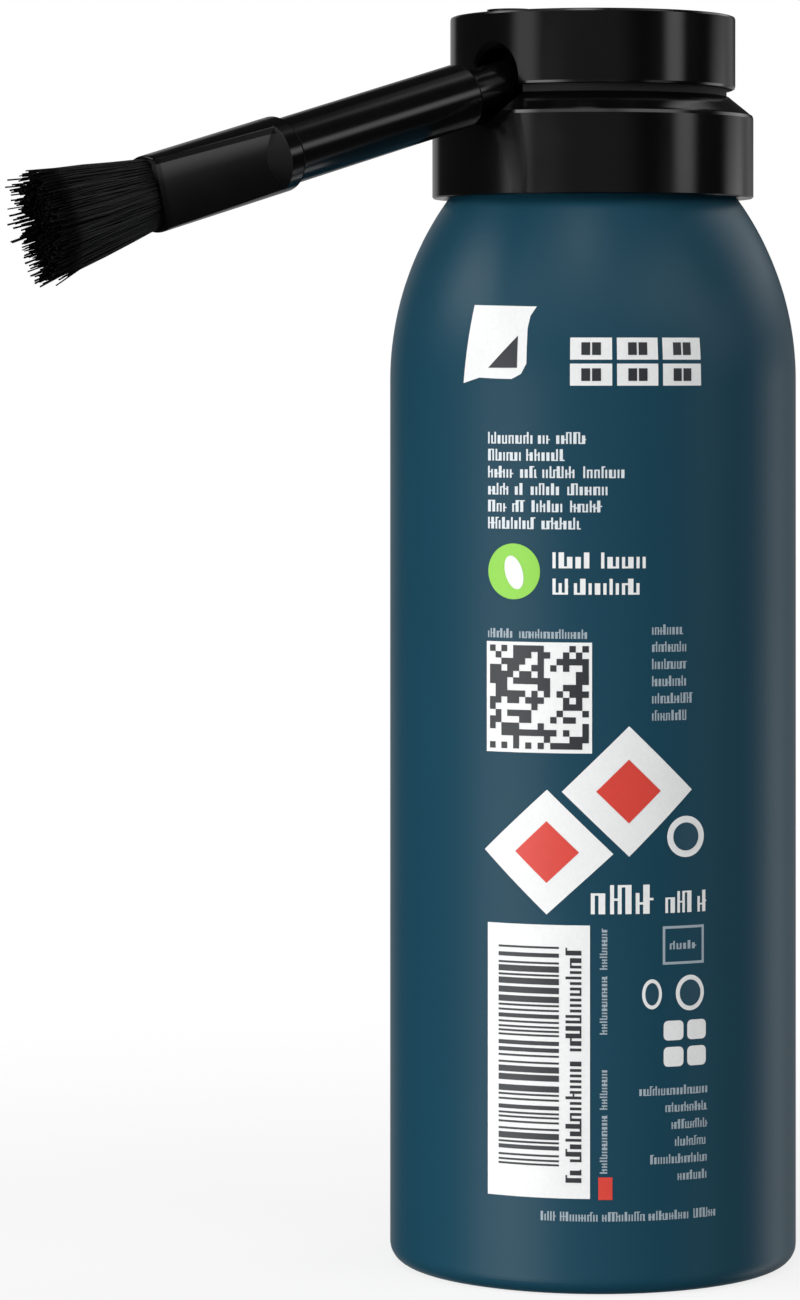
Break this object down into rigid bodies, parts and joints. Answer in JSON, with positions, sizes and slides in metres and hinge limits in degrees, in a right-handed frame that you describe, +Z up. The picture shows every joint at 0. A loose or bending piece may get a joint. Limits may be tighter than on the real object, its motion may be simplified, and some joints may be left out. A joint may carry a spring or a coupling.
{
  "type": "chain lube spray can with brush",
  "caption": "Slim spray can of bicycle chain lube with a clipped collar, a press button and a downward sloping brush arm that carries the oil to its bristles.",
  "frame": {"origin": "on the can's axis, in the plane of its standing ring", "axes": "+Z up along the can's axis, the brush arm reaches out along -X, +Y completes a right-handed frame"},
  "size_m": [0.1047, 0.045, 0.138],
  "materials": {
    "can_paint": "satin dark teal lacquer with printed fields",
    "cup_metal": "bright rolled sheet",
    "gasket_rubber": "matt",
    "valve_plastic": "natural moulded",
    "spring_steel": "drawn stainless wire",
    "black_gloss": "moulded black, half gloss",
    "arm_plastic": "moulded black, half gloss",
    "bristle_nylon": "drawn black filament"
  },
  "bodies": {
    "can": {"can_body": "can_paint", "valve_cup": "cup_metal", "cup_gasket": "gasket_rubber", "valve_housing": "valve_plastic", "stem_gasket": "gasket_rubber", "valve_spring": "spring_steel", "dip_tube": "valve_plastic"},
    "head": {"collar": "black_gloss"},
    "actuator": {"button": "black_gloss", "valve_stem": "valve_plastic", "brush_arm": "arm_plastic", "brush_ferrule": "arm_plastic", "bristles": "bristle_nylon"}
  },
  "joints": [
    {"name": "head_swivel", "type": "hinge", "parent": "can", "child": "head", "pos_m": [0, 0, 0.12], "axis": [0, 0, 1], "continuous": true},
    {"name": "button_press", "type": "slide", "parent": "head", "child": "actuator", "axis": [0, 0, -1], "range_m": [0, 0.0007], "stiffness_N_per_m": 12000, "springref_m": -0.00004, "deforming": ["valve_spring"]}
  ]
}
